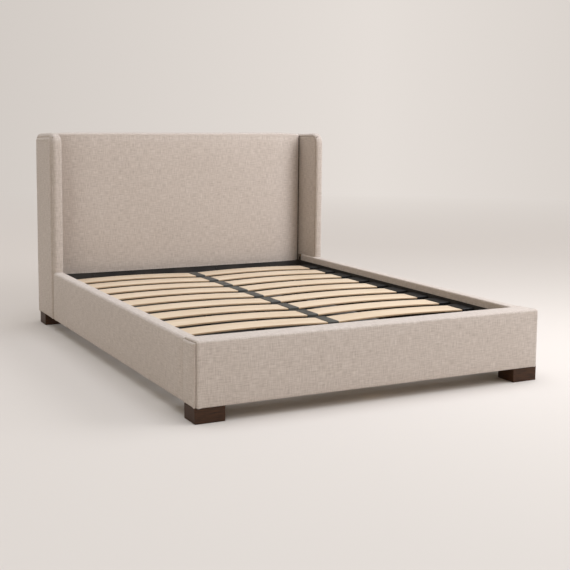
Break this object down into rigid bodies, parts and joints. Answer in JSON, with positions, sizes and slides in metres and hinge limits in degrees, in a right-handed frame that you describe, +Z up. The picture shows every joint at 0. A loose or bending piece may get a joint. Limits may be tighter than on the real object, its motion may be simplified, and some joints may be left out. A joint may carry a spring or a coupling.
{
  "type": "wingback bed",
  "caption": "Upholstered wingback bed with padded headboard, wings, side rails and footboard, a steel-framed deck of bowed wooden slats in plastic holders, and block feet.",
  "frame": {"origin": "on the floor, under the middle of the bed's overall length and width", "axes": "+X to the right hand of someone who faces the headboard, +Y from the footboard to the headboard, +Z up"},
  "size_m": [1.68, 2.3299, 1.074],
  "materials": {
    "upholstery": "plain woven linen-look cloth over foam",
    "board": "raw plywood",
    "softwood": "planed softwood",
    "dark_feet": "dark walnut stain, satin",
    "black_steel": "satin black powder coat",
    "zinc_bolts": "zinc plated",
    "slat_wood": "bent birch plywood, satin",
    "holder_plastic": "matte dark grey",
    "foot_plastic": "matte black"
  },
  "bodies": {
    "bed": {"headboard_pad": "upholstery", "left_wing_cover": "upholstery", "right_wing_cover": "upholstery", "left_rail_cover": "upholstery", "right_rail_cover": "upholstery", "footboard_cover": "upholstery", "headboard_back_cover": "upholstery", "headboard_face_board": "board", "headboard_back_board": "board", "left_wing_core": "board", "right_wing_core": "board", "left_rail_board": "board", "right_rail_board": "board", "footboard_front_board": "board", "footboard_back_board": "board", "headboard_posts": "softwood", "headboard_cross_rails": "softwood", "headboard_ledger": "softwood", "footboard_top_rail": "softwood", "footboard_blocks": "softwood", "front_left_foot": "dark_feet", "front_right_foot": "dark_feet", "rear_left_foot": "dark_feet", "rear_right_foot": "dark_feet", "left_side_angle": "black_steel", "right_side_angle": "black_steel", "head_angle": "black_steel", "foot_angle": "black_steel", "centre_beam": "black_steel", "centre_legs": "black_steel", "corner_brackets": "black_steel", "bracket_bolts": "zinc_bolts", "foot_studs": "zinc_bolts", "left_slat_01": "slat_wood", "left_slat_02": "slat_wood", "left_slat_03": "slat_wood", "left_slat_04": "slat_wood", "left_slat_05": "slat_wood", "left_slat_06": "slat_wood", "left_slat_07": "slat_wood", "left_slat_08": "slat_wood", "left_slat_09": "slat_wood", "left_slat_10": "slat_wood", "right_slat_01": "slat_wood", "right_slat_02": "slat_wood", "right_slat_03": "slat_wood", "right_slat_04": "slat_wood", "right_slat_05": "slat_wood", "right_slat_06": "slat_wood", "right_slat_07": "slat_wood", "right_slat_08": "slat_wood", "right_slat_09": "slat_wood", "right_slat_10": "slat_wood", "left_slat_holders": "holder_plastic", "right_slat_holders": "holder_plastic", "centre_slat_holders": "holder_plastic", "leg_plugs": "foot_plastic"},
    "head_screw_foot_body": {"head_screw_foot": "foot_plastic"},
    "middle_screw_foot_body": {"middle_screw_foot": "foot_plastic"},
    "foot_screw_foot_body": {"foot_screw_foot": "foot_plastic"}
  },
  "joints": [
    {"name": "head_screw_foot_height", "type": "slide", "parent": "bed", "child": "head_screw_foot_body", "axis": [0, 0, -1], "range_m": [0, 0.015]},
    {"name": "middle_screw_foot_height", "type": "slide", "parent": "bed", "child": "middle_screw_foot_body", "axis": [0, 0, -1], "range_m": [0, 0.015]},
    {"name": "foot_screw_foot_height", "type": "slide", "parent": "bed", "child": "foot_screw_foot_body", "axis": [0, 0, -1], "range_m": [0, 0.015]}
  ]
}
